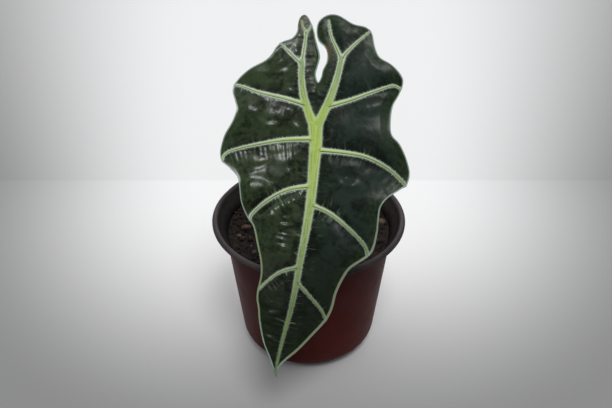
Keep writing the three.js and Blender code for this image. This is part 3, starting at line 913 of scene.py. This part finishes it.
# ---- Petiole ----
# The leaf's stalk: fleshy, round, sheathing at its base. It rises behind the blade and turns over to
# meet its back. Pale green, with fine brown-purple flecks that crowd towards the base.
backward = Vector((0, math.cos(leaf_lean), -math.sin(leaf_lean)))
stalk_end = leaf_join + backward * 0.9 * MM
stalk_course = [
    Vector((corm_middle.x, corm_middle.y, corm_high.z - 0.6 * MM)),
    Vector((corm_middle.x, corm_middle.y, corm_high.z + 9 * MM)),
    Vector((-2 * MM, 10.5 * MM, 112 * MM)),
    Vector((-2 * MM, 11 * MM, 130 * MM)),
    Vector((0.6 * MM, 2 * MM, 151 * MM)),
    stalk_end + backward * 9 * MM,
    stalk_end,
]
route = bpy.data.curves.new("petiole_stalk", "CURVE")
route.dimensions = "3D"
route.bevel_depth = 1.0
route.bevel_resolution = 8
route.resolution_u = 14
route.use_fill_caps = True
line = route.splines.new("BEZIER")
line.bezier_points.add(len(stalk_course) - 1)
for i, (point, spot) in enumerate(zip(line.bezier_points, stalk_course)):
    share = [0, 0.09, 0.26, 0.45, 0.7, 0.9, 1][i]
    point.co = spot
    point.handle_left_type = point.handle_right_type = "AUTO"
    point.radius = (2.5 + 1.1 * (1 - share) + 2.6 * max(0, 1 - share / 0.45) ** 1.5) * MM
stalk = bpy.data.objects.new("petiole_stalk", route)
bpy.context.scene.collection.objects.link(stalk)
activate(stalk)
bpy.ops.object.convert(target="MESH")
stalk = bpy.context.object
bpy.ops.object.shade_smooth_by_angle(angle=math.radians(50))


def paint_stalk(start):
    place = place_of(start)
    height = place.node("SeparateXYZ", {}, {"Vector": place}, out=2)
    young = height.rise(corm_high.z, corm_high.z + 50 * MM)
    streaks = place.stretch(1, 1, 0.15).noise(900, detail=3)
    flecks = place.stretch(1, 1, 0.35).noise(420, detail=4, roughness=0.7)
    green = streaks.rise(0.3, 0.7).colour((0.13, 0.22, 0.07), (0.24, 0.33, 0.125))
    base = young.colour((0.28, 0.3, 0.15), green)
    marked = (flecks.rise(0.55, 0.66) * (1 - young * 0.75) * 0.6).colour(base, (0.09, 0.045, 0.04))
    return {
        "Base Color": marked,
        "Roughness": 0.42 + streaks * 0.12,
        "IOR": 1.45,
        "Specular IOR Level": 0.4,
        "Normal": bump(start, streaks, 0.12 * MM),
    }


stalk.data.materials.append(finish_of("stalk_green", paint_stalk))
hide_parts("petiole")
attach(stalk, "root")

# ---- Sheath scales ----
# Two dry papery scales left from the plant's first growth. They clasp the stalk's foot and their tips
# stand off it. Straw brown, with darker veins along them, torn at the tip.


def paint_scale(start):
    place = place_of(start)
    veins_along = place.stretch(1, 1, 0.08).noise(1100, detail=3)
    blotch = place.noise(120, detail=4, roughness=0.6)
    straw = blotch.rise(0.35, 0.7).colour((0.2, 0.125, 0.06), (0.36, 0.26, 0.14))
    return {
        "Base Color": (veins_along.rise(0.5, 0.66) * 0.6).colour(straw, (0.13, 0.075, 0.04)),
        "Roughness": 0.7,
        "Specular IOR Level": 0.3,
        "Normal": bump(start, veins_along + blotch * 0.5, 0.2 * MM),
    }


scale_finish = finish_of("dry_scale", paint_scale)
stalk_line = [s.lerp(e, i / 12) for s, e in zip(stalk_course, stalk_course[1:]) for i in range(12)]
for name, node, inner, spread, turn in (
        ("scale_front", "sheath_scale_front", 7.2, 2.5, -math.pi / 2 + 0.5),
        ("scale_back", "sheath_scale_back", 8.8, 2.1, math.pi / 2 + 0.4)):
    low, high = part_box(node)
    tall = high.z - low.z
    bpy.ops.object.select_all(action="DESELECT")
    bpy.ops.mesh.primitive_grid_add(x_subdivisions=28, y_subdivisions=44, size=2)
    scale = bpy.context.object
    scale.name = name
    for vertex in scale.data.vertices:
        wide, up = vertex.co.x, (vertex.co.y + 1) / 2
        ragged = 1 - 0.05 * (1 + noise.noise(Vector((wide * 3, inner, 0)))) * up
        height = low.z + tall * up * ragged
        centre = min(stalk_line, key=lambda spot: abs(spot.z - (low.z + 0.9 * (height - low.z))))
        crinkle = 0.25 * noise.noise(Vector((wide * 2.5, up * 3, inner)))
        out = (inner + 2.5 * up ** 2 + crinkle) * MM
        angle = turn + wide * spread / 2 * (1 - 0.85 * up ** 1.5)
        vertex.co = (centre.x + out * math.cos(angle), centre.y + out * math.sin(angle), height)
    activate(scale)
    thicken = scale.modifiers.new("thickness", "SOLIDIFY")
    thicken.thickness = 0.35 * MM
    thicken.offset = 0
    bpy.ops.object.modifier_apply(modifier="thickness")
    bpy.ops.object.mode_set(mode="EDIT")
    bpy.ops.mesh.select_all(action="SELECT")
    bpy.ops.mesh.normals_make_consistent(inside=False)
    bpy.ops.object.mode_set(mode="OBJECT")
    bpy.ops.object.shade_smooth_by_angle(angle=math.radians(50))
    scale.data.materials.append(scale_finish)
    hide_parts(node)
    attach(scale, "root")

# ---- Floor and lights ----
# A pale studio floor with a painted pool of light, palest round the plant and darker away from it, and
# painted a little darker beyond a straight line behind the pot where a backdrop would begin.
# One broad soft light above, a small bright window that gives the leaf its gleam, and a pale surround.
bpy.ops.object.select_all(action="DESELECT")
bpy.ops.mesh.primitive_plane_add(size=12)
floor = bpy.context.object
floor.name = "floor"
floor.data.transform(Matrix.Translation((0, 0, -0.2 * MM)))
backdrop_line = 177.6 * MM


def paint_floor(start):
    place = place_of(start)
    behind = place.node("SeparateXYZ", {}, {"Vector": place}, out=1) - backdrop_line
    beyond = behind.math("MAXIMUM", behind, 0)
    before = behind.math("MINIMUM", behind, 0)
    aside = place.node("SeparateXYZ", {}, {"Vector": place}) * 1.08 / (beyond * 1.8 + 1)
    reach = flat_place(start, aside, before + beyond * 0.15)
    out = start.node("VectorMath", {"operation": "LENGTH"}, {0: reach}, out=1)
    # painted light: a pool of light round the plant, falling away with distance, and a step a little darker
    # beyond the backdrop line
    tone = (0.93 - out.rise(0.09, 0.31) * 0.66) * (1 - behind.rise(-2 * MM, 2 * MM) * 0.06)
    return {"Base Color": tone, "Roughness": 0.95, "Specular IOR Level": 0.05}


floor.data.materials.append(finish_of("studio_floor", paint_floor))

world = bpy.data.worlds.new("studio")
world.use_nodes = True
bpy.context.scene.world = world
sky = Shade(world.node_tree)
toward = sky.node("TexCoord", {}, {}, out=0)
behind = toward.node("SeparateXYZ", {}, {"Vector": toward}, out=1)
above = toward.node("SeparateXYZ", {}, {"Vector": toward}, out=2)
dome = behind.rise(-0.8, 0.9).colour((0.22, 0.23, 0.25), (0.85, 0.85, 0.85))
around = above.rise(0, 0.3).colour((0.42, 0.42, 0.425), dome)
surround = world.node_tree.nodes["Background"]
world.node_tree.links.new(around.socket, surround.inputs["Color"])


def soft_light(name, turn, height, strength, softness, shines):
    """A far, broad light from this turn (0 is in front, 90 on the right) and height, in degrees."""
    data = bpy.data.lights.new(name, "SUN")
    data.energy = strength
    data.angle = math.radians(softness)
    lamp = bpy.data.objects.new(name, data)
    lamp.rotation_euler = (math.radians(90 - height), 0, math.radians(turn))
    lamp.visible_glossy = shines
    bpy.context.scene.collection.objects.link(lamp)


soft_light("ceiling", -14, 68, 0.55, 75, False)
soft_light("window", 14, 62, 1.15, 19, True)
bpy.context.scene.view_settings.view_transform = "Standard"
